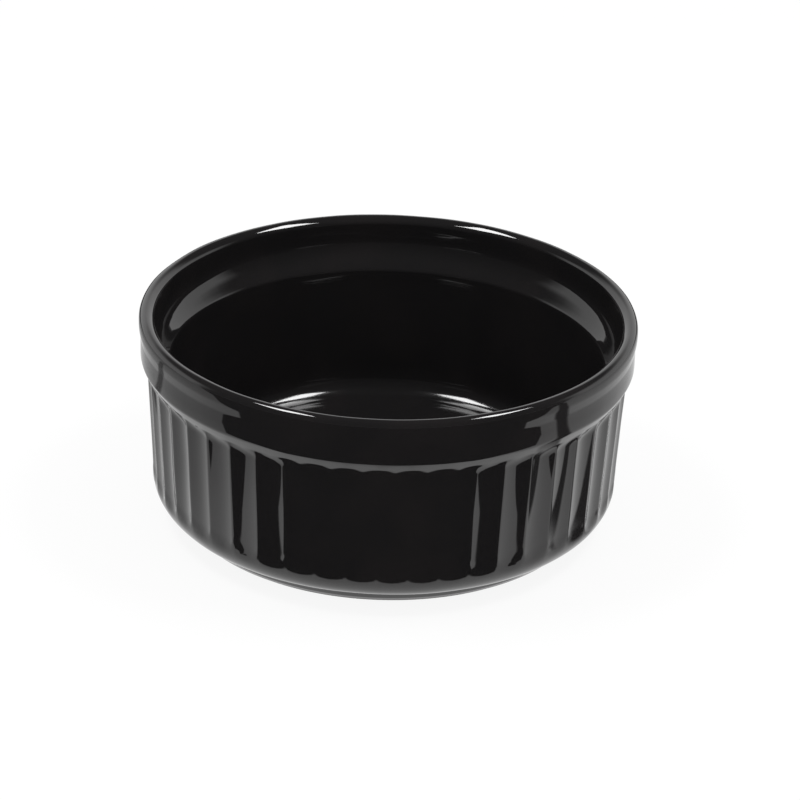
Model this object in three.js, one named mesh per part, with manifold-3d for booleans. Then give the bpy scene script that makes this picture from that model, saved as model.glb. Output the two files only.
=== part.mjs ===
// A round fluted sauce dish of glazed stoneware, in millimetres, +Z up.
// The origin is on the surface that the dish stands on, under its middle, and the picture's viewer stands at -Y.
import * as THREE from 'three';
import { mergeVertices } from 'three/addons/utils/BufferGeometryUtils.js';
import Module from 'manifold-3d';

// Overall size.
const RIM_DIAMETER = 100;
const HEIGHT = 44.3;

// Rim: a rounded lip that stands a little proud of the plain band under it.
const LIP_THICKNESS = 2.55;
const LIP_PROUD = 0.36;
const LIP_DEPTH = 2.9;
const NECK_DEPTH = 4.8;
const LIP_ROUND = 1.25;
const NECK_ROUND = 3;

// Plain band, and the soft shoulder under it that draws in to the fluted wall.
const BAND_DEPTH = 9.6;
const BAND_ROUND = 1.5;
const SHOULDER_DRAW = 1.12;
const SHOULDER_HEIGHT = 2.1;
const SHOULDER_ROUND = 2;

// Fluted wall, which leans in towards a rounded corner above the foot.
const WALL_LEAN = THREE.MathUtils.degToRad(4.4);
const CORNER_HEIGHT = 4.6;
const CORNER_ROUND = 6.4;
const FLUTES = 48;
const FLUTE_DEPTH = 0.42;
const FLUTE_HEADROOM = 0.6;
const FLUTE_TURN_DEG = -1.05;

// Foot ring.
const FOOT_SET_IN = 6.4;
const FOOT_WIDTH = 3.2;
const FOOT_HEIGHT = 2.5;
const FOOT_FLARE = 1.4;
const FOOT_ROUND = 0.5;
const FOOT_FILLET = 0.8;
const RECESS_DEPTH = 2;
const RECESS_FILLET = 1.2;

// Inside: a sloping ledge below the lip, a steep wall, and a flat floor.
const LEDGE_DEPTH = 7.1;
const LIP_DRAW = 0.85;
const LEDGE_DROP = 3;
const LEDGE_WIDTH = 3;
const LEDGE_ROUND = 0.8;
const INSIDE_LEAN = THREE.MathUtils.degToRad(2.6);
const FLOOR_HEIGHT = 6;
const FLOOR_ROUND = 4.4;

// Glaze: a coat over the clay that stops just above the bare edge that the dish stands on.
const GLAZE_THICKNESS = 0.35;
const GLAZE_LINE = 0.6;
const BOND_LINE = 0.03;

// Facets: one side of the turned form for each flute, and steps along round stretches.
const ARC_STEP = THREE.MathUtils.degToRad(46);
const FLUTE_STEPS = 3;
const CUTTER_SPREAD = 1.25;
const MARGIN = 1;

const wasm = await Module();
wasm.setup();

/** A closed geometry as a solid that can be joined and cut. */
function solid(geometry) {
  const bare = geometry.clone();
  bare.deleteAttribute('normal');
  bare.deleteAttribute('uv');
  const merged = mergeVertices(bare, 1e-4);
  const triVerts = [];
  for (let i = 0; i < merged.index.count; i += 3) {
    const [a, b, c] = merged.index.array.slice(i, i + 3);
    if (a !== b && b !== c && c !== a) triVerts.push(a, b, c);
  }
  const mesh = new wasm.Mesh({
    numProp: 3,
    vertProperties: new Float32Array(merged.attributes.position.array),
    triVerts: new Uint32Array(triVerts),
  });
  return new wasm.Manifold(mesh);
}

/** The solid's surface as a geometry. */
function surface(body) {
  const mesh = body.getMesh();
  const geometry = new THREE.BufferGeometry();
  geometry.setAttribute('position', new THREE.BufferAttribute(mesh.vertProperties, 3));
  geometry.setIndex(new THREE.BufferAttribute(mesh.triVerts, 1));
  geometry.computeVertexNormals();
  return geometry;
}

/** A line of corners, given as radius, height and rounding, with an arc at each rounded corner. */
function roundedLine(corners) {
  const points = [];
  corners.forEach(([radius, height, round], i) => {
    const corner = new THREE.Vector2(radius, height);
    if (!round) {
      points.push(corner);
      return;
    }
    const before = new THREE.Vector2(corners[i - 1][0], corners[i - 1][1]).sub(corner);
    const after = new THREE.Vector2(corners[i + 1][0], corners[i + 1][1]).sub(corner);
    const turn = Math.PI - Math.acos(before.clone().normalize().dot(after.clone().normalize()));
    const room = 0.5 * Math.min(before.length(), after.length());
    const reach = Math.min(round * Math.tan(turn / 2), room);
    const start = before.clone().setLength(reach);
    const end = after.clone().setLength(reach);
    const middle = start.clone().add(end).divideScalar(2 * Math.sin(turn / 2) ** 2);
    const arm = start.clone().sub(middle);
    const sweep = Math.sign(before.cross(after)) * -turn;
    const steps = Math.ceil(turn / ARC_STEP);
    for (let k = 0; k <= steps; k++) {
      const spoke = arm.clone().rotateAround(new THREE.Vector2(), sweep * (k / steps));
      points.push(corner.clone().add(middle).add(spoke));
    }
  });
  return points;
}

/** The line moved sideways into the clay, with its ends kept on the axis. */
function insetLine(points, inset) {
  const last = points.length - 1;
  return points.map((point, i) => {
    const before = points[Math.max(i - 1, 0)];
    const after = points[Math.min(i + 1, last)];
    const inward = (from, to) => new THREE.Vector2(from.y - to.y, to.x - from.x).normalize();
    const first = i > 0 ? inward(before, point) : inward(point, after);
    const second = i < last ? inward(point, after) : first;
    const mitre = first.clone().add(second);
    return mitre.multiplyScalar(inset / (1 + first.dot(second))).add(point);
  });
}

const rimRadius = RIM_DIAMETER / 2;
const lipInnerRadius = rimRadius - LIP_THICKNESS;
const bandRadius = rimRadius - LIP_PROUD;
const wallTopRadius = bandRadius - SHOULDER_DRAW;
const bandBottom = HEIGHT - BAND_DEPTH;
const wallTop = bandBottom - SHOULDER_HEIGHT;
const fluteTop = wallTop - FLUTE_HEADROOM;
const wallRadius = (height) => wallTopRadius - (wallTop - height) * Math.tan(WALL_LEAN);
const footRadius = wallRadius(CORNER_HEIGHT) - FOOT_SET_IN;
const footInnerRadius = footRadius - FOOT_WIDTH;
const ledgeTop = HEIGHT - LEDGE_DEPTH;
const ledgeTopRadius = lipInnerRadius - LIP_DRAW;
const ledgeBottom = ledgeTop - LEDGE_DROP;
const ledgeBottomRadius = ledgeTopRadius - LEDGE_WIDTH;
const floorRadius = ledgeBottomRadius - (ledgeBottom - FLOOR_HEIGHT) * Math.tan(INSIDE_LEAN);

/** Half of the dish's section, from the underside on the axis round to the inside floor. */
function section(inset) {
  const corners = [
    [0, RECESS_DEPTH],
    [footInnerRadius, RECESS_DEPTH, RECESS_FILLET],
    [footInnerRadius, -inset, FOOT_ROUND],
    [footRadius, -inset, FOOT_ROUND],
    [footRadius + FOOT_FLARE, FOOT_HEIGHT, FOOT_FILLET],
    [wallRadius(CORNER_HEIGHT), CORNER_HEIGHT, CORNER_ROUND],
    [wallTopRadius, wallTop, SHOULDER_ROUND],
    [bandRadius, bandBottom, BAND_ROUND],
    [bandRadius, HEIGHT - NECK_DEPTH, NECK_ROUND],
    [rimRadius, HEIGHT - LIP_DEPTH, NECK_ROUND],
    [rimRadius, HEIGHT, LIP_ROUND],
    [lipInnerRadius, HEIGHT, LIP_ROUND],
    [ledgeTopRadius, ledgeTop, LEDGE_ROUND],
    [ledgeBottomRadius, ledgeBottom, LEDGE_ROUND],
    [floorRadius, FLOOR_HEIGHT, FLOOR_ROUND],
    [0, FLOOR_HEIGHT],
  ];
  return insetLine(roundedLine(corners), inset);
}

/** One flute's cutter, at the side that faces +X, with its hollow deepened by the inset. */
function fluteCutter(inset) {
  const halfSide = Math.PI / FLUTES;
  const middleRadius = wallRadius((wallTop + CORNER_HEIGHT) / 2);
  const halfWidth = middleRadius * Math.sin(halfSide);
  const hollow = (halfWidth ** 2 + FLUTE_DEPTH ** 2) / (2 * FLUTE_DEPTH);
  const reach = Math.asin(halfWidth / hollow) * CUTTER_SPREAD;
  const outline = new THREE.Shape();
  outline.absarc(0, 0, hollow + inset, Math.PI - reach, Math.PI + reach, false);
  const length = wallTop / Math.cos(WALL_LEAN) + MARGIN;
  const cutter = new THREE.ExtrudeGeometry(outline, {
    depth: length,
    bevelEnabled: false,
    curveSegments: FLUTE_STEPS,
  });
  cutter.translate(hollow - FLUTE_DEPTH, 0, inset - length);
  cutter.rotateY(WALL_LEAN);
  cutter.translate(wallRadius(fluteTop) * Math.cos(halfSide), 0, fluteTop);
  return solid(cutter);
}

/** The whole dish as one solid, with every surface but the standing face moved in by the inset. */
function dishForm(inset) {
  const turned = new THREE.LatheGeometry(section(inset), FLUTES);
  turned.rotateX(Math.PI / 2);
  let form = solid(turned);
  const cutter = fluteCutter(inset);
  const pitch = 360 / FLUTES;
  for (let flute = 0; flute < FLUTES; flute++) {
    form = form.subtract(cutter.rotate([0, 0, (flute + 0.5) * pitch]));
  }
  return form.rotate([0, 0, FLUTE_TURN_DEG]);
}

/** A plain disc on the axis between two heights. */
function disc(radius, bottom, top) {
  const geometry = new THREE.CylinderGeometry(radius, radius, top - bottom, FLUTES);
  geometry.rotateX(Math.PI / 2);
  geometry.translate(0, 0, (bottom + top) / 2);
  return solid(geometry);
}

const clay = dishForm(GLAZE_THICKNESS + BOND_LINE);
const bareEdge = disc(rimRadius + MARGIN, -MARGIN, GLAZE_LINE);
const glazeShell = dishForm(0).subtract(dishForm(GLAZE_THICKNESS)).subtract(bareEdge);
const underBase = disc(footRadius - FOOT_WIDTH / 2, -MARGIN, (RECESS_DEPTH + FLOOR_HEIGHT) / 2);

const clayFinish = new THREE.MeshStandardMaterial({ color: 0x4a4541, roughness: 0.85, metalness: 0 });
const glazeFinish = new THREE.MeshStandardMaterial({ color: 0x121213, roughness: 0.06, metalness: 0 });

const dish = new THREE.Group();
const pieces = [
  ['stoneware_body', clay, clayFinish],
  ['glaze_coat', glazeShell.subtract(underBase), glazeFinish],
  ['base_glaze', glazeShell.intersect(underBase), glazeFinish.clone()],
];
for (const [name, body, finish] of pieces) {
  const mesh = new THREE.Mesh(surface(body), finish);
  mesh.name = name;
  dish.add(mesh);
}

export default dish;
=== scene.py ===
# %% [markdown]
# # A black fluted sauce dish
#
# The dish is one lump of pressed stoneware under a black gloss glaze. In this lesson we take the CAD part
# as a fixed frame and dress it: a fine clay form, the coat of glaze that runs over it, and the patch of
# glaze under the base. The scene is in metres, in the part's own frame, with +Z up and the viewer at -Y.

# %% Load the frame
import cmath
import math
import random

import bpy
import numpy as np
from mathutils import Matrix, Vector


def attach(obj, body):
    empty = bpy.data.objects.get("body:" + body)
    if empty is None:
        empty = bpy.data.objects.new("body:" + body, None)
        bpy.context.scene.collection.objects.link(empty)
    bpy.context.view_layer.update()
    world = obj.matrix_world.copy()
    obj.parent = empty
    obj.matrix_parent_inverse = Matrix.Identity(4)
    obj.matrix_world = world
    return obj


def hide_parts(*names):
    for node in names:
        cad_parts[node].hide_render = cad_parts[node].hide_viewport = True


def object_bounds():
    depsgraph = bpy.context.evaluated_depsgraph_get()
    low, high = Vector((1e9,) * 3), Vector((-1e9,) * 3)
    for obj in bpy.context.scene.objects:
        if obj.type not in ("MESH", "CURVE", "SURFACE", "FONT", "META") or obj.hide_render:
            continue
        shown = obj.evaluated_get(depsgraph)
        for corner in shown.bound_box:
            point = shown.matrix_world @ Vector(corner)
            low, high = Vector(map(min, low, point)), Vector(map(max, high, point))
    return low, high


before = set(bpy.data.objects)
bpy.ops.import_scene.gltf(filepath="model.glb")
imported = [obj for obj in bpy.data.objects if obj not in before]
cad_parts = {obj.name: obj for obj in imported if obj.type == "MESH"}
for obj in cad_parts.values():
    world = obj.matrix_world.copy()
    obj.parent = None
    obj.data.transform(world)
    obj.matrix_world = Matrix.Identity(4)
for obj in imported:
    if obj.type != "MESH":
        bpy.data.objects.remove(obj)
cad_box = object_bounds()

scene = bpy.context.scene
print("CAD box", [tuple(round(v, 4) for v in corner) for corner in cad_box])

# %% [markdown]
# ## The camera
#
# A product shot is taken with a long lens from about a metre away, so the dish has almost no perspective.
# We could place the camera by eye. It is better to keep what was found by matching circles of the dish to
# the outline in the picture: how far the camera looks down, how far it is rolled, how long the lens is, and
# where the middle of the standing face falls in an 800 by 800 frame. From those we build the camera's own
# axes, with no lens shift.

# %% Camera
FRAME_PIXELS = 800
CAMERA_DISTANCE = 1.0
LOOK_DOWN = 0.4745
ROLL = 0.0306
FOCAL_PIXELS = 4897.6
FOOT_CENTRE_PIXEL = (382.85, 508.6)
SENSOR_MM = 36.0


def camera_axes():
    right = Vector((1, 0, 0))
    up = Vector((0, math.sin(LOOK_DOWN), math.cos(LOOK_DOWN)))
    back = right.cross(up)
    rolled_right = right * math.cos(ROLL) + up * math.sin(ROLL)
    rolled_up = up * math.cos(ROLL) - right * math.sin(ROLL)
    aside = (FRAME_PIXELS / 2 - FOOT_CENTRE_PIXEL[0]) / FOCAL_PIXELS
    above = (FOOT_CENTRE_PIXEL[1] - FRAME_PIXELS / 2) / FOCAL_PIXELS
    aim = (rolled_right * aside + rolled_up * above - back).normalized()
    x_axis = aim.cross(rolled_up).normalized()
    return x_axis, x_axis.cross(aim), -aim, back * CAMERA_DISTANCE


def add_camera():
    x_axis, y_axis, z_axis, eye = camera_axes()
    camera = bpy.data.objects.new("camera", bpy.data.cameras.new("camera"))
    scene.collection.objects.link(camera)
    turn = Matrix((x_axis, y_axis, z_axis)).transposed()
    camera.matrix_world = Matrix.Translation(eye) @ turn.to_4x4()
    camera.data.sensor_width = SENSOR_MM
    camera.data.lens = FOCAL_PIXELS / FRAME_PIXELS * SENSOR_MM
    scene.camera = camera
    return camera


camera = add_camera()
print("lens", round(camera.data.lens, 1), "mm, eye", tuple(round(v, 3) for v in camera.location))

# %% [markdown]
# ## The section of the dish
#
# A dish is a turned form, so its shape is one line: from the middle of the underside, out over the foot
# ring, up the wall, round the lip, down the inside and in to the middle of the floor. We could draw it as a
# free curve. A few corners, each with a radius to round it by, are easier to check against a real dish,
# because every width and height has a name. Rim and height come from the frame, and all of it is in
# millimetres. First comes the outside of the rim, where a rounded lip stands proud of a plain band.

# %% Lip, band and shoulder
MM = 0.001
RIM = (cad_box[1][0] - cad_box[0][0]) / 2 / MM
HEIGHT = cad_box[1][2] / MM
LIP_THICKNESS, LIP_DEPTH, LIP_PROUD = 3.05, 2.9, 0.36
LIP_EDGE_DROP, LIP_EDGE_ROUND = 1.17, 1.2
CROWN_WIDTH, CROWN_RISE, CROWN_DROP, CROWN_ROUND = 2.1, 0.34, 0.42, 1.4
NECK_DEPTH, NECK_ROUND = 4.8, 3.0
BAND_DEPTH, BAND_ROUND = 9.25, 1.6
SHOULDER_DRAW, SHOULDER_HEIGHT, SHOULDER_ROUND = 1.22, 2.1, 1.0
LIP_INNER = RIM - LIP_THICKNESS
BAND = RIM - LIP_PROUD
BAND_LOW = HEIGHT - BAND_DEPTH
WALL_TOP = BAND_LOW - SHOULDER_HEIGHT
WALL_TOP_RADIUS = BAND - SHOULDER_DRAW
print("rim", round(RIM, 2), "band down to", round(BAND_LOW, 2), "wall top", round(WALL_TOP, 2))

# %% [markdown]
# Under the shoulder the wall leans in a little, as it must to leave its mould, and turns under with a broad
# round to a low foot ring. The flutes have their full depth between two heights. Above and below those they
# run out, and the points of the line lie closer together there.

# %% Wall and foot ring
WALL_LEAN = math.tan(math.radians(3.67))
CORNER_HEIGHT, CORNER_ROUND = 4.6, 6.6
FLUTE_FINISH = 2.4
FLUTE_ENDS = WALL_TOP - FLUTE_FINISH
FLUTE_LOW, FLUTE_STARTS = 7.3, 12.0
FOOT_SET_IN, FOOT_WIDTH, FOOT_ROUND = 6.62, 3.2, 0.5
FOOT_FLARE, FOOT_HEIGHT, FOOT_FILLET = 1.4, 2.5, 0.8
RECESS, RECESS_FILLET = 2.0, 1.2


def wall_radius(height):
    return WALL_TOP_RADIUS - (WALL_TOP - height) * WALL_LEAN


FOOT = wall_radius(CORNER_HEIGHT) - FOOT_SET_IN
FOOT_INNER = FOOT - FOOT_WIDTH
print("foot ring from", round(FOOT_INNER, 2), "to", round(FOOT, 2))

# %% [markdown]
# Inside, below the lip, runs a sloping ledge, such as dishes that are made to stack have. Its upper end runs
# into the lip with a broad cove, because no corner under glaze is sharp. Below it come a steep wall and a
# flat floor.

# %% Ledge and floor
LEDGE_DRAW, LEDGE_DEPTH, LEDGE_COVE = 0.1, 7.0, 6.0
LEDGE_WIDTH, LEDGE_LOW_DEPTH, LEDGE_ROUND = 3.3, 10.55, 1.3
INSIDE_LEAN = math.tan(math.radians(2.6))
FLOOR, FLOOR_ROUND = 6.0, 4.4
LEDGE_TOP = LIP_INNER - LEDGE_DRAW
LEDGE_FOOT = LEDGE_TOP - LEDGE_WIDTH
LEDGE_LOW = HEIGHT - LEDGE_LOW_DEPTH
FLOOR_EDGE = LEDGE_FOOT - (LEDGE_LOW - FLOOR) * INSIDE_LEAN
print("ledge foot", round(LEDGE_FOOT, 2), "floor edge", round(FLOOR_EDGE, 2))

# %% [markdown]
# Now the corners stand in a row, from the underside round to the inside floor. A rounding of 0 keeps a plain
# point, as on the axis and at the two heights that mark the flutes. Everything here has its name above, so
# a change of one size moves every corner that depends on it.

# %% Corners as radius, height and rounding
SECTION = [
    (0.0, RECESS, 0.0),
    (FOOT_INNER, RECESS, RECESS_FILLET),
    (FOOT_INNER, 0.0, FOOT_ROUND),
    (FOOT, 0.0, FOOT_ROUND),
    (FOOT + FOOT_FLARE, FOOT_HEIGHT, FOOT_FILLET),
    (wall_radius(CORNER_HEIGHT), CORNER_HEIGHT, CORNER_ROUND),
    (wall_radius(FLUTE_STARTS), FLUTE_STARTS, 0.0),
    (wall_radius(FLUTE_ENDS), FLUTE_ENDS, 0.0),
    (WALL_TOP_RADIUS, WALL_TOP, SHOULDER_ROUND),
    (BAND, BAND_LOW, BAND_ROUND),
    (BAND, HEIGHT - NECK_DEPTH, NECK_ROUND),
    (RIM, HEIGHT - LIP_DEPTH, NECK_ROUND),
    (RIM, HEIGHT + CROWN_RISE, CROWN_ROUND),
    (RIM - CROWN_WIDTH, HEIGHT - CROWN_DROP, CROWN_ROUND),
    (LIP_INNER, HEIGHT - LIP_EDGE_DROP, LIP_EDGE_ROUND),
    (LEDGE_TOP, HEIGHT - LEDGE_DEPTH, LEDGE_COVE),
    (LEDGE_FOOT, LEDGE_LOW, LEDGE_ROUND),
    (FLOOR_EDGE, FLOOR, FLOOR_ROUND),
    (0.0, FLOOR, 0.0),
]
print("section corners", len(SECTION))

# %% [markdown]
# ## Arcs and even steps
#
# Each corner with a radius becomes an arc. A complex number is a handy point here: its real part is the
# radius, its imaginary part is the height, and a product turns it. Long stretches are then cut into even
# steps, fine where the flutes begin and end, and coarse where the dish is flat. The same line, moved
# inwards along its own normals, gives the back of the glaze and the face of the clay.

# %% Line from corners
ARC_STEP = math.radians(12)
ARC_LENGTH = 0.8
FINE_STEP = 0.4
WALL_STEP = 2.0
FLAT_STEP = 5.0


def rounded_line(corners):
    line = []
    for i, (radius, height, rounding) in enumerate(corners):
        corner = complex(radius, height)
        if rounding == 0:
            line.append(corner)
            continue
        back = complex(*corners[i - 1][:2]) - corner
        ahead = complex(*corners[i + 1][:2]) - corner
        bend = cmath.phase(ahead / back)
        turn = math.pi - abs(bend)
        reach = rounding * math.tan(turn / 2)
        start = back / abs(back) * reach
        middle = (start + ahead / abs(ahead) * reach) / (2 * math.sin(turn / 2) ** 2)
        steps = max(2, math.ceil(turn / ARC_STEP), math.ceil(turn * rounding / ARC_LENGTH))
        for k in range(steps + 1):
            spin = cmath.exp(-1j * math.copysign(turn, bend) * k / steps)
            line.append(corner + middle + (start - middle) * spin)
    return line


def longest_step(start, end):
    low = min(start.imag, end.imag)
    at_flute_end = FLUTE_LOW < low < FLUTE_STARTS or FLUTE_ENDS <= low < WALL_TOP
    if at_flute_end and start.real > LEDGE_FOOT:
        return FINE_STEP
    return FLAT_STEP if start.imag == end.imag else WALL_STEP


def even_line(line):
    spaced = [line[0]]
    for start, end in zip(line, line[1:]):
        steps = max(1, math.ceil(abs(end - start) / longest_step(start, end)))
        spaced += [start + (end - start) * k / steps for k in range(1, steps + 1)]
    return np.array(spaced)


def inward(line):
    steps = np.diff(line)
    steps = steps / abs(steps) * 1j
    first = np.append(steps[:1], steps)
    second = np.append(steps, steps[-1:])
    mitre = first + second
    return mitre / (1 + (first * second.conj()).real)


section = even_line(rounded_line(SECTION))
print("points along the section", len(section))

# %% [markdown]
# ## Flutes
#
# The wall has 48 shallow hollows side by side. They could be cut with booleans, but that leaves sharp
# ridges, and glaze never does: it pulls away from an edge and pools in a hollow. So each flute is a formula.
# Its depth is a parabola across the flute, and its ridges are eased over. At the top the hollow runs out
# along the slope of the shoulder, and at the bottom it ends like a spoon, first at the ridges and last in
# its middle, just above the round of the wall. Columns of points crowd together at the ridges.

# %% Flute formula
TINY = 1e-6
FLUTES = 48
FIRST_RIDGE = math.radians(-1.05)
FLUTE_DEPTH = 0.62
RIDGE_EASE = 0.11
END_EASE = 0.45
RUN_OUT = 0.16
TOP_CORNER, TOP_POWER = 0.9, 5
TOP_SLOPE = SHOULDER_DRAW / SHOULDER_HEIGHT - WALL_LEAN
LOW_CORNER, LOW_POWER = 3.0, 3
LOW_SLOPE = 0.3
ACROSS = np.array([-1, -0.93, -0.82, -0.42, 0, 0.42, 0.82, 0.93])


def flute_depth(across):
    reach = abs(across)
    edge = 1 - RIDGE_EASE
    past = np.clip(reach - edge, 0, None)
    inner = 1 - np.minimum(reach, edge) ** 2
    return FLUTE_DEPTH * (inner - 2 * edge * past * (1 - past / (2 * RIDGE_EASE)))


def soft_least(first, second, ease):
    overlap = np.clip(ease - abs(first - second), 0, None) / ease
    return np.minimum(first, second) - overlap**2 * ease / 4


def fluted(radius, height, across):
    top_end = (WALL_TOP - TOP_CORNER * abs(across) ** TOP_POWER - height) * TOP_SLOPE
    low_end = (height - FLUTE_LOW - LOW_CORNER * abs(across) ** LOW_POWER) * LOW_SLOPE
    depth = soft_least(flute_depth(across), top_end, END_EASE)
    depth = soft_least(depth, low_end, END_EASE)
    ease = RUN_OUT * np.clip(depth / FLUTE_DEPTH, TINY, 1)
    return soft_least(radius, wall_radius(height) - depth, ease)


middles = 2 * np.arange(FLUTES) + 1
angles = (FIRST_RIDGE + (middles[:, None] + ACROSS) * math.pi / FLUTES).ravel()
across = np.tile(ACROSS, FLUTES)
pitch = 2 * math.pi * wall_radius(HEIGHT / 2) / FLUTES
print("columns", len(angles), "flute pitch", round(pitch, 2), "mm")

# %% [markdown]
# ## The hand of the maker
#
# A mirror-black glaze shows every tenth of a degree. A perfect turned form gives ruler-straight reflections
# that no kiln ever made. A bump in the material could break them up, but then the mesh would stay perfect,
# so a slow wobble of a few hundredths of a millimetre is added to the surface itself. It is a sum of a few
# seeded waves, so that each run gives the same dish.

# %% Slow wobble of the surface
WOBBLE = 0.022
WAVES = 10
WAVE_LENGTHS = (9, 26)
SEED = 48
dice = random.Random(SEED)
waves = []
for k in range(WAVES):
    heading = Vector((dice.gauss(0, 1), dice.gauss(0, 1), dice.gauss(0, 1))).normalized()
    waves.append((heading * 2 * math.pi / dice.uniform(*WAVE_LENGTHS), dice.uniform(0, 2 * math.pi)))


def wobble(x, y, z):
    total = sum(np.sin(w.x * x + w.y * y + w.z * z + phase) for w, phase in waves)
    return WOBBLE * total / math.sqrt(WAVES / 2)


print("waves", len(waves), "with a wobble of", WOBBLE, "mm")

# %% [markdown]
# ## From a line to a skin
#
# Each point of the line becomes a ring of points, and a point on the axis becomes a single pole. A screw
# modifier would turn the line too, but it can't give each column its own flute. The wobble acts along the
# direction in which the ring is moved in, and fades out towards the standing face, which stays flat.

# %% Rings


def direction(push):
    return push / abs(push) if abs(push) > 0 else 0j


def ring(point, push):
    height = np.full(len(angles), point.imag)
    radius = fluted(np.full(len(angles), point.real), height, across)
    x = radius * np.sin(angles)
    y = -radius * np.cos(angles)
    shift = wobble(x, y, height) * min(1, point.imag / FLOOR)
    radius = radius + push.real - shift * direction(push).real
    height = height + push.imag - shift * direction(push).imag
    return np.stack([radius * np.sin(angles), -radius * np.cos(angles), height], axis=1)


def rings(line, inset):
    rows = []
    for point, normal in zip(line, inward(line)):
        push = normal * inset
        if point.real < TINY:
            rows.append(np.array([[0.0, 0.0, point.imag + push.imag]]))
        else:
            rows.append(ring(point, push))
    return rows


print("one ring has", len(ring(section[len(section) // 2], 0j)), "points")

# %% [markdown]
# Rings are stitched with quads and poles with fans. A convex hull or a remesh would also close the points to
# a skin, but would lose the flutes or their even rows. Stitched this way the skin has no doubled points,
# which keeps it clean when the dish is printed or measured.

# %% Stitches


def stitch(rows, closed):
    starts = np.cumsum([0] + [len(row) for row in rows])
    pairs = list(zip(range(len(rows) - 1), range(1, len(rows))))
    if closed:
        pairs.append((len(rows) - 1, 0))
    faces = []
    for a, b in pairs:
        many = max(len(rows[a]), len(rows[b]))
        for k in range(many):
            n = (k + 1) % many
            corners = [starts[a] + k % len(rows[a]), starts[a] + n % len(rows[a])]
            corners += [starts[b] + n % len(rows[b]), starts[b] + k % len(rows[b])]
            face = list(dict.fromkeys(int(c) for c in corners))
            if len(face) > 2:
                faces.append(face)
    return np.concatenate(rows), faces


def add_skin(name, rows, closed):
    points, faces = stitch(rows, closed)
    mesh = bpy.data.meshes.new(name)
    mesh.from_pydata((points * MM).tolist(), [], faces)
    mesh.validate()
    mesh.shade_smooth()
    piece = bpy.data.objects.new(name, mesh)
    scene.collection.objects.link(piece)
    print(name, len(points), "points", len(faces), "faces")
    return piece


print("a skin of", len(section), "rows can be stitched")

# %% [markdown]
# ## Clay and glaze
#
# The glaze stops a little above the edge that the dish stands on, because glaze that touched the kiln shelf
# would fuse to it. One skin with two materials would show the same, but a coat with a thickness of its own
# can be lifted off and measured. So the section is split where it crosses the glaze line, once on each side
# of the foot ring. The outer part carries the coat, the inner part carries the patch under the base, and
# the clay is the whole line, set in by the coat's thickness. The coat's own face is moved in by next to
# nothing, only to give the wobble a direction.

# %% Three skins
GLAZE = 0.35
BOND = 0.03
GLAZE_LINE = 0.6


def crossing(line, first, last):
    for i in range(first, last):
        low, high = sorted((line[i].imag, line[i + 1].imag))
        if low < GLAZE_LINE <= high:
            share = (GLAZE_LINE - line[i].imag) / (line[i + 1].imag - line[i].imag)
            return i, line[i] + (line[i + 1] - line[i]) * share
    raise ValueError("the section never crosses the glaze line")


def coat(line, name):
    face = rings(line, TINY)
    back = rings(line, GLAZE)
    if line[-1].real < TINY:
        return add_skin(name, face + back[::-1], closed=True)
    return add_skin(name, back[::-1] + face, closed=True)


foot_point = int(np.argmin(section.imag))
inner_at, inner_edge = crossing(section, 0, foot_point)
outer_at, outer_edge = crossing(section, foot_point, len(section) - 1)
coat_line = np.append(outer_edge, section[outer_at + 1:])
base_line = np.append(section[:inner_at + 1], inner_edge)
bare_line = section - 1j * (GLAZE + BOND) * (section.imag < TINY)

black_glaze = coat(coat_line, "black_glaze")
base_patch = coat(base_line, "base_glaze_patch")
clay_form = add_skin("clay_form", rings(bare_line, GLAZE + BOND), closed=False)

# %% [markdown]
# ## Shader sums in plain Python
#
# Node graphs are easier to read as sums. A small class wraps a socket, and adding or multiplying two of them
# lays down the Math node. Every other node comes from one method, which sets the node's own settings first
# and then its sockets.

# %% Wire


class Wire:
    """A socket that can be used in a sum."""

    def __init__(self, graph, socket):
        self.graph = graph
        self.socket = socket

    def sum(self, operation, first, second):
        return self.graph.node("ShaderNodeMath", {"operation": operation}, {0: first, 1: second})[0]

    def __add__(self, other):
        return self.sum("ADD", self, other)

    __radd__ = __add__

    def __sub__(self, other):
        return self.sum("SUBTRACT", self, other)

    def __rsub__(self, other):
        return self.sum("SUBTRACT", other, self)

    def __mul__(self, other):
        return self.sum("MULTIPLY", self, other)

    __rmul__ = __mul__

    def most(self, other):
        return self.sum("MAXIMUM", self, other)

    def least(self, other):
        return self.sum("MINIMUM", self, other)

    def size(self):
        return self.graph.node("ShaderNodeMath", {"operation": "ABSOLUTE"}, {0: self})[0]

    def over(self, low, high):
        """0 below low, 1 above high, and smooth between."""
        sockets = {"Value": self, "From Min": low, "From Max": high}
        return self.graph.node("ShaderNodeMapRange", {"interpolation_type": "SMOOTHSTEP"}, sockets)[0]


print("a wire has", len([name for name in vars(Wire) if not name.startswith("_")]), "named sums")

# %% [markdown]
# The graph is the other half. Its method `node` lays down any node, and the rest are short names for what
# the finishes below use more than once. The Mix node has several sockets of the same name, one for each kind
# of value, so its colours are reached by number.

# %% Graph
MIX_LOW, MIX_HIGH, MIX_RESULT = 6, 7, 2


class Made:
    """A node whose outputs are wires."""

    def __init__(self, graph, node):
        self.graph = graph
        self.node = node

    def __getitem__(self, key):
        return Wire(self.graph, self.node.outputs[key])


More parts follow.
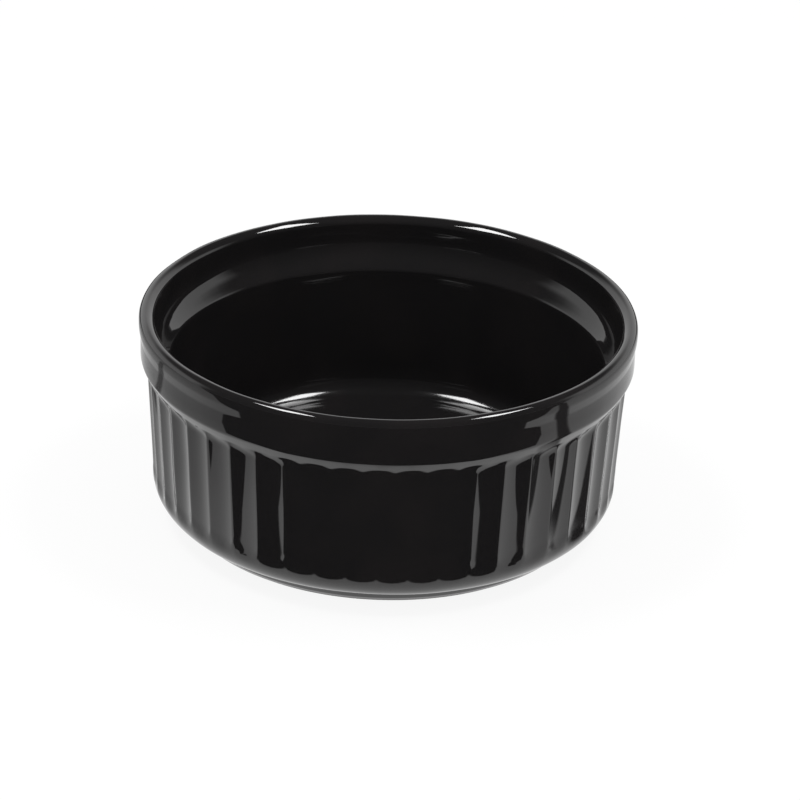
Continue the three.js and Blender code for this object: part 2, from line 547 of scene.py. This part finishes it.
class Graph:
    """A node tree that is written as sums."""

    def __init__(self, owner):
        owner.use_nodes = True
        self.tree = owner.node_tree
        self.tree.nodes.clear()

    def node(self, kind, settings=None, sockets=None):
        node = self.tree.nodes.new(kind)
        for key, value in (settings or {}).items():
            setattr(node, key, value)
        for key, value in (sockets or {}).items():
            if isinstance(value, Wire):
                self.tree.links.new(value.socket, node.inputs[key])
            else:
                node.inputs[key].default_value = value
        return Made(self, node)

    def place(self):
        """The point of the surface, in the object's own frame."""
        return self.node("ShaderNodeTexCoord")["Object"]

    def split(self, vector):
        return self.node("ShaderNodeSeparateXYZ", {}, {"Vector": vector})

    def length(self, vector):
        return self.node("ShaderNodeVectorMath", {"operation": "LENGTH"}, {0: vector})["Value"]

    def noise(self, place, scale, detail):
        sockets = {"Vector": place, "Scale": scale, "Detail": detail}
        return self.node("ShaderNodeTexNoise", {}, sockets)["Fac"]

    def cells(self, place, scale):
        """The distance to the nearest of many scattered points."""
        return self.node("ShaderNodeTexVoronoi", {}, {"Vector": place, "Scale": scale})["Distance"]

    def mix(self, mask, low, high):
        """A colour between two colours."""
        sockets = {"Factor": mask, MIX_LOW: low, MIX_HIGH: high}
        return self.node("ShaderNodeMix", {"data_type": "RGBA"}, sockets)[MIX_RESULT]

    def bump(self, height, strength, distance):
        sockets = {"Strength": strength, "Distance": distance, "Height": height}
        return self.node("ShaderNodeBump", {}, sockets)["Normal"]

    def show(self, shader):
        self.node("ShaderNodeOutputMaterial", {}, {"Surface": shader})


print("a graph has", len([name for name in vars(Graph) if not name.startswith("_")]), "methods")

# %% [markdown]
# ## Black gloss glaze
#
# The glaze is glass: a nearly black body with a mirror surface. Plain black with a low roughness would pass
# for plastic. What makes it look like glaze is small: the colour is a shade warmer where it has run thin,
# the gloss is not quite even, the surface has a very fine ripple with a pinhole here and there, and the
# floor of the dish is a touch duller where spoons have rubbed it. All of it depends on where a point is on
# the dish, never on the camera.

# %% Glaze material
GLAZE_DEEP = (0.0094, 0.0089, 0.0092, 1)
GLAZE_THIN = (0.0112, 0.0102, 0.0104, 1)
THIN_CLOUD, FINE_GRAIN, SLOW_RIPPLE = (70.0, 3.0), (900.0, 2.0), (160.0, 1.0)
THIN_SHARE = (0.42, 0.68)
GLAZE_IOR = 1.58
COAT_GLOSS, PATCH_GLOSS = 0.02, 0.06
GRAIN_DULLS, PINHOLE_DULLS, WEAR_DULLS = 0.025, 0.2, 0.08
PINHOLE_SCALE, PINHOLE_EDGE = 140.0, (0.018, 0.03)
RIPPLE_RELIEF, GRAIN_RELIEF, PINHOLE_RELIEF = 0.7, 0.06, 0.5
RIPPLE_STRENGTH, RIPPLE_DISTANCE = 0.5, 0.00003
WEAR_LOW, WEAR_HIGH, WEAR_EDGE = (0.004, 0.0055), (0.008, 0.0125), (0.0425, 0.0435)


def floor_wear(graph, place):
    height = graph.split(place)["Z"]
    by_height = height.over(*WEAR_LOW) * (1 - height.over(*WEAR_HIGH))
    return by_height * (1 - graph.length(place).over(*WEAR_EDGE))


def glaze_finish(name, gloss):
    material = bpy.data.materials.new(name)
    graph = Graph(material)
    place = graph.place()
    cloud = graph.noise(place, *THIN_CLOUD)
    grain = graph.noise(place, *FINE_GRAIN)
    ripple = graph.noise(place, *SLOW_RIPPLE)
    pinhole = 1 - graph.cells(place, PINHOLE_SCALE).over(*PINHOLE_EDGE)
    worn = floor_wear(graph, place)
    relief = ripple * RIPPLE_RELIEF + grain * GRAIN_RELIEF - pinhole * PINHOLE_RELIEF
    shader = graph.node("ShaderNodeBsdfPrincipled", {}, {
        "Base Color": graph.mix(cloud.over(*THIN_SHARE), GLAZE_DEEP, GLAZE_THIN),
        "Roughness": gloss + grain * GRAIN_DULLS + pinhole * PINHOLE_DULLS + worn * WEAR_DULLS,
        "IOR": GLAZE_IOR,
        "Normal": graph.bump(relief, RIPPLE_STRENGTH, RIPPLE_DISTANCE),
    })["BSDF"]
    graph.show(shader)
    return material


coat_finish = glaze_finish("black_gloss_glaze", COAT_GLOSS)
patch_finish = glaze_finish("base_glaze_finish", PATCH_GLOSS)
print("glaze finishes", coat_finish.name, patch_finish.name)

# %% [markdown]
# ## Bare stoneware
#
# The only clay that shows is the ring that the dish stands on. Fired stoneware is matt and close grained,
# with darker specks of iron, and the ring is rubbed a little paler where it has slid on tables. A scan of
# real clay would do as well, but noise and scattered cells need no picture and never repeat.

# %% Clay material
CLAY_DARK = (0.052, 0.046, 0.041, 1)
CLAY_PALE = (0.115, 0.103, 0.092, 1)
CLAY_SPECK = (0.018, 0.015, 0.013, 1)
CLAY_CLOUD, CLAY_GRAIN = (220.0, 5.0), (2400.0, 3.0)
RUBBED_HEIGHT, RUBBED_SHARE = (0.0, 0.0004), (0.45, 0.7)
PALE_SHARE = (0.3, 0.7)
PALE_BY_CLOUD, PALE_BY_RUBBING = 0.6, 0.4
SPECK_SCALE, SPECK_EDGE = 700.0, (0.12, 0.22)
CLAY_GRAIN_RELIEF, CLAY_CLOUD_RELIEF = 0.6, 0.4
CLAY_ROUGHNESS, GRAIN_ROUGHNESS = 0.72, 0.2
GRAIN_STRENGTH, GRAIN_DISTANCE = 0.6, 0.00008


def clay_finish():
    material = bpy.data.materials.new("bare_stoneware")
    graph = Graph(material)
    place = graph.place()
    cloud = graph.noise(place, *CLAY_CLOUD)
    grain = graph.noise(place, *CLAY_GRAIN)
    speck = 1 - graph.cells(place, SPECK_SCALE).over(*SPECK_EDGE)
    rubbed = (1 - graph.split(place)["Z"].over(*RUBBED_HEIGHT)) * cloud.over(*RUBBED_SHARE)
    pale = cloud.over(*PALE_SHARE) * PALE_BY_CLOUD + rubbed * PALE_BY_RUBBING
    body = graph.mix(pale, CLAY_DARK, CLAY_PALE)
    relief = grain * CLAY_GRAIN_RELIEF + cloud * CLAY_CLOUD_RELIEF
    shader = graph.node("ShaderNodeBsdfPrincipled", {}, {
        "Base Color": graph.mix(speck, body, CLAY_SPECK),
        "Roughness": CLAY_ROUGHNESS + grain * GRAIN_ROUGHNESS,
        "Normal": graph.bump(relief, GRAIN_STRENGTH, GRAIN_DISTANCE),
    })["BSDF"]
    graph.show(shader)
    return material


bare_finish = clay_finish()
print("clay finish", bare_finish.name)

# %% [markdown]
# ## Dress the pieces
#
# Each skin now takes its finish, and stands in for one solid of the part: the clay, the coat, and the patch
# under the base. The dish has no moving piece, so all three belong to the same body.

# %% Finishes and solids
dressing = [
    (clay_form, bare_finish, "clay", "stoneware_body"),
    (black_glaze, coat_finish, "glaze", "glaze_coat"),
    (base_patch, patch_finish, "base_glaze", "base_glaze"),
]
for piece, finish, slot, node in dressing:
    piece.data.materials.append(finish)
    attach(piece, "root")
    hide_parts(node)
    print(piece.name, "rides root and replaces", node)

# %% [markdown]
# ## A pale floor
#
# The dish stands on a white sheet that fills the picture. Lamps strong enough to bleach a painted sheet
# would also bleach the dish. So to the camera and to reflections the sheet is plain white, and a share of
# ordinary white paint is mixed in so that it still takes the dish's shadow. It lies a tenth of a millimetre
# under the standing face, so that the two never share a plane.

# %% Floor
FLOOR_SIZE = 6.0
FLOOR_GAP = 0.0001
FLOOR_WHITE = 0.9
FLOOR_PAINT = (0.82, 0.82, 0.82, 1)
WHITE = (1, 1, 1, 1)


def seen_rays(graph):
    path = graph.node("ShaderNodeLightPath")
    return (path["Is Camera Ray"] + path["Is Glossy Ray"] + path["Is Transmission Ray"]).least(1.0)


def floor_finish():
    material = bpy.data.materials.new("pale_floor")
    graph = Graph(material)
    paint = graph.node("ShaderNodeBsdfDiffuse", {}, {"Color": FLOOR_PAINT})["BSDF"]
    white = graph.node("ShaderNodeEmission", {}, {"Color": WHITE, "Strength": 1.0})["Emission"]
    share = seen_rays(graph) * FLOOR_WHITE
    graph.show(graph.node("ShaderNodeMixShader", {}, {"Fac": share, 1: paint, 2: white})[0])
    return material


def add_sheet(name, width, height, finish):
    half = width / 2
    corners = [(-half, -half, height), (half, -half, height), (half, half, height), (-half, half, height)]
    mesh = bpy.data.meshes.new(name)
    mesh.from_pydata(corners, [], [list(range(len(corners)))])
    mesh.materials.append(finish)
    sheet = bpy.data.objects.new(name, mesh)
    scene.collection.objects.link(sheet)
    print(name, width, "m wide")
    return sheet


add_sheet("floor", FLOOR_SIZE, -FLOOR_GAP, floor_finish())

# %% [markdown]
# ## A black card
#
# A black mirror shows the room and not itself. In the studio, black card lies in front of a glossy pot so
# that its wall stays black towards the viewer, and the white sheet shows only at its flanks. Cards could be
# modelled one by one. A single sheet over the floor, kept out of the camera's own sight, can instead have
# its outline as a formula with soft edges: a card in front, whose edge draws back from the dish on both
# sides, a wedge behind, two thin strips at the sides, which are the dark stripes on the flanks of the band,
# and a thin grey that deepens away from the dish and to the left.

# %% Outline of the card
FRONT_EDGE, FRONT_RIM = (0.031, 0.0326), (0.053, 0.057)
LEFT_LEAN, LEFT_MOST = -0.354, 0.0185
RIGHT_LEAN, RIGHT_MOST = 0.45, 0.0225
WEDGE_LEAN, WEDGE_EDGE = 0.9, (0.060, 0.072)
STRIPS = [
    dict(side=1, lean=0.241, offset=0.0075, edge=(0.004, 0.008), start=(0.04, 0.06), dark=0.95),
    dict(side=-1, lean=0.185, offset=-0.0103, edge=(0.002, 0.009), start=(0.07, 0.085), dark=0.8),
]
FAR_GREY, FAR_FROM = 0.36, (0.053, 0.14)
LEFT_GREY, LEFT_FROM = 0.16, (0.045, 0.075)


def card_mask(graph):
    place = graph.place()
    split = graph.split(place)
    x, y = split["X"], split["Y"]
    radius = graph.length(place)
    lean = (x * LEFT_LEAN).least(LEFT_MOST).most((x * RIGHT_LEAN).least(RIGHT_MOST))
    front = (0 - y - lean).over(*FRONT_EDGE) * radius.over(*FRONT_RIM)
    wedge = (y - x.size() * WEDGE_LEAN).over(*WEDGE_EDGE)
    grey = radius.over(*FAR_FROM) * FAR_GREY + (0 - x).over(*LEFT_FROM) * LEFT_GREY
    mask = front.most(wedge).most(grey)
    for strip in STRIPS:
        off_line = (y + x * strip["lean"] + strip["offset"]).size()
        along = (x * strip["side"]).over(*strip["start"])
        mask = mask.most((1 - off_line.over(*strip["edge"])) * along * strip["dark"])
    return mask


print("the card has", len(STRIPS), "strips at the sides")

# %% [markdown]
# The card is a clear sheet that turns black under that outline. It has to darken reflections and nothing
# else, so it is hidden from the camera, from shadows and from diffuse light.

# %% Card over the floor
CARD_WIDTH = 3.0
CARD_HEIGHT = 0.0002
CARD_BLACK = (0.01, 0.01, 0.01, 1)


def card_finish():
    material = bpy.data.materials.new("black_card")
    graph = Graph(material)
    clear = graph.node("ShaderNodeBsdfTransparent")["BSDF"]
    black = graph.node("ShaderNodeBsdfDiffuse", {}, {"Color": CARD_BLACK})["BSDF"]
    graph.show(graph.node("ShaderNodeMixShader", {}, {"Fac": card_mask(graph), 1: clear, 2: black})[0])
    return material


card = add_sheet("black_card", CARD_WIDTH, CARD_HEIGHT, card_finish())
card.visible_camera = False
card.visible_shadow = False
card.visible_diffuse = False

# %% [markdown]
# ## The room
#
# Behind the dish hangs a white backdrop, which a black rim shows as a soft grey. Above and in front the
# room is dark. Walls of their own would do the same, but the world needs no geometry: to reflections it is
# bright only towards the back and below a certain height. The camera itself always sees white, and the
# ambient light that falls on the dish is even.

# %% World
BACKDROP = 0.88
ROOM = 0.035
AMBIENT = 0.8
BACKDROP_SIDE, BACKDROP_TOP = (-0.15, 0.15), (0.38, 0.62)


def set_world():
    world = bpy.data.worlds.new("studio")
    scene.world = world
    graph = Graph(world)
    ray = graph.split(graph.node("ShaderNodeTexCoord")["Generated"])
    backdrop = ray["Y"].over(*BACKDROP_SIDE) * (1 - ray["Z"].over(*BACKDROP_TOP))
    shown = ROOM + (BACKDROP - ROOM) * backdrop
    path = graph.node("ShaderNodeLightPath")
    plain = 1 - path["Is Glossy Ray"] - path["Is Camera Ray"]
    strength = path["Is Camera Ray"] + path["Is Glossy Ray"] * shown + plain * AMBIENT
    light = graph.node("ShaderNodeBackground", {}, {"Color": WHITE, "Strength": strength})["Background"]
    graph.node("ShaderNodeOutputWorld", {}, {"Surface": light})


set_world()
print("world", scene.world.name)

# %% [markdown]
# ## Soft boxes
#
# Two soft boxes hang overhead, one on each side. They put the short white strokes on the lip and on the
# floor of the dish. A lamp aimed with a constraint may twist about its own axis, and the strokes then turn
# too, so each box gets its three axes outright, with its long side towards the viewer.

# %% Lamps
BOX_DISTANCE = 0.7
BOX_WATTS = 1.76
BOX_WIDTH, BOX_LENGTH = 0.135, 0.23
BOXES = {"left_box": (-0.40, -0.055, 0.92), "right_box": (0.445, -0.025, 0.896)}


def add_box(name, heading):
    lamp = bpy.data.lights.new(name, "AREA")
    lamp.shape = "RECTANGLE"
    lamp.size, lamp.size_y = BOX_WIDTH, BOX_LENGTH
    lamp.energy = BOX_WATTS
    holder = bpy.data.objects.new(name, lamp)
    toward = Vector(heading).normalized()
    side = Vector((0, 1, 0)).cross(toward).normalized()
    turn = Matrix((side, toward.cross(side), toward)).transposed()
    holder.matrix_world = Matrix.Translation(toward * BOX_DISTANCE) @ turn.to_4x4()
    scene.collection.objects.link(holder)
    print(name, tuple(round(v, 2) for v in holder.location), lamp.energy, "W")


for name, heading in BOXES.items():
    add_box(name, heading)

# %% [markdown]
# ## Plain colours
#
# A filmic view would lift the black and grey the white. The standard view shows a colour about as it is
# written, which suits a product shot.

# %% View transform
scene.view_settings.view_transform = "Standard"
print("view transform", scene.view_settings.view_transform)

# %% [markdown]
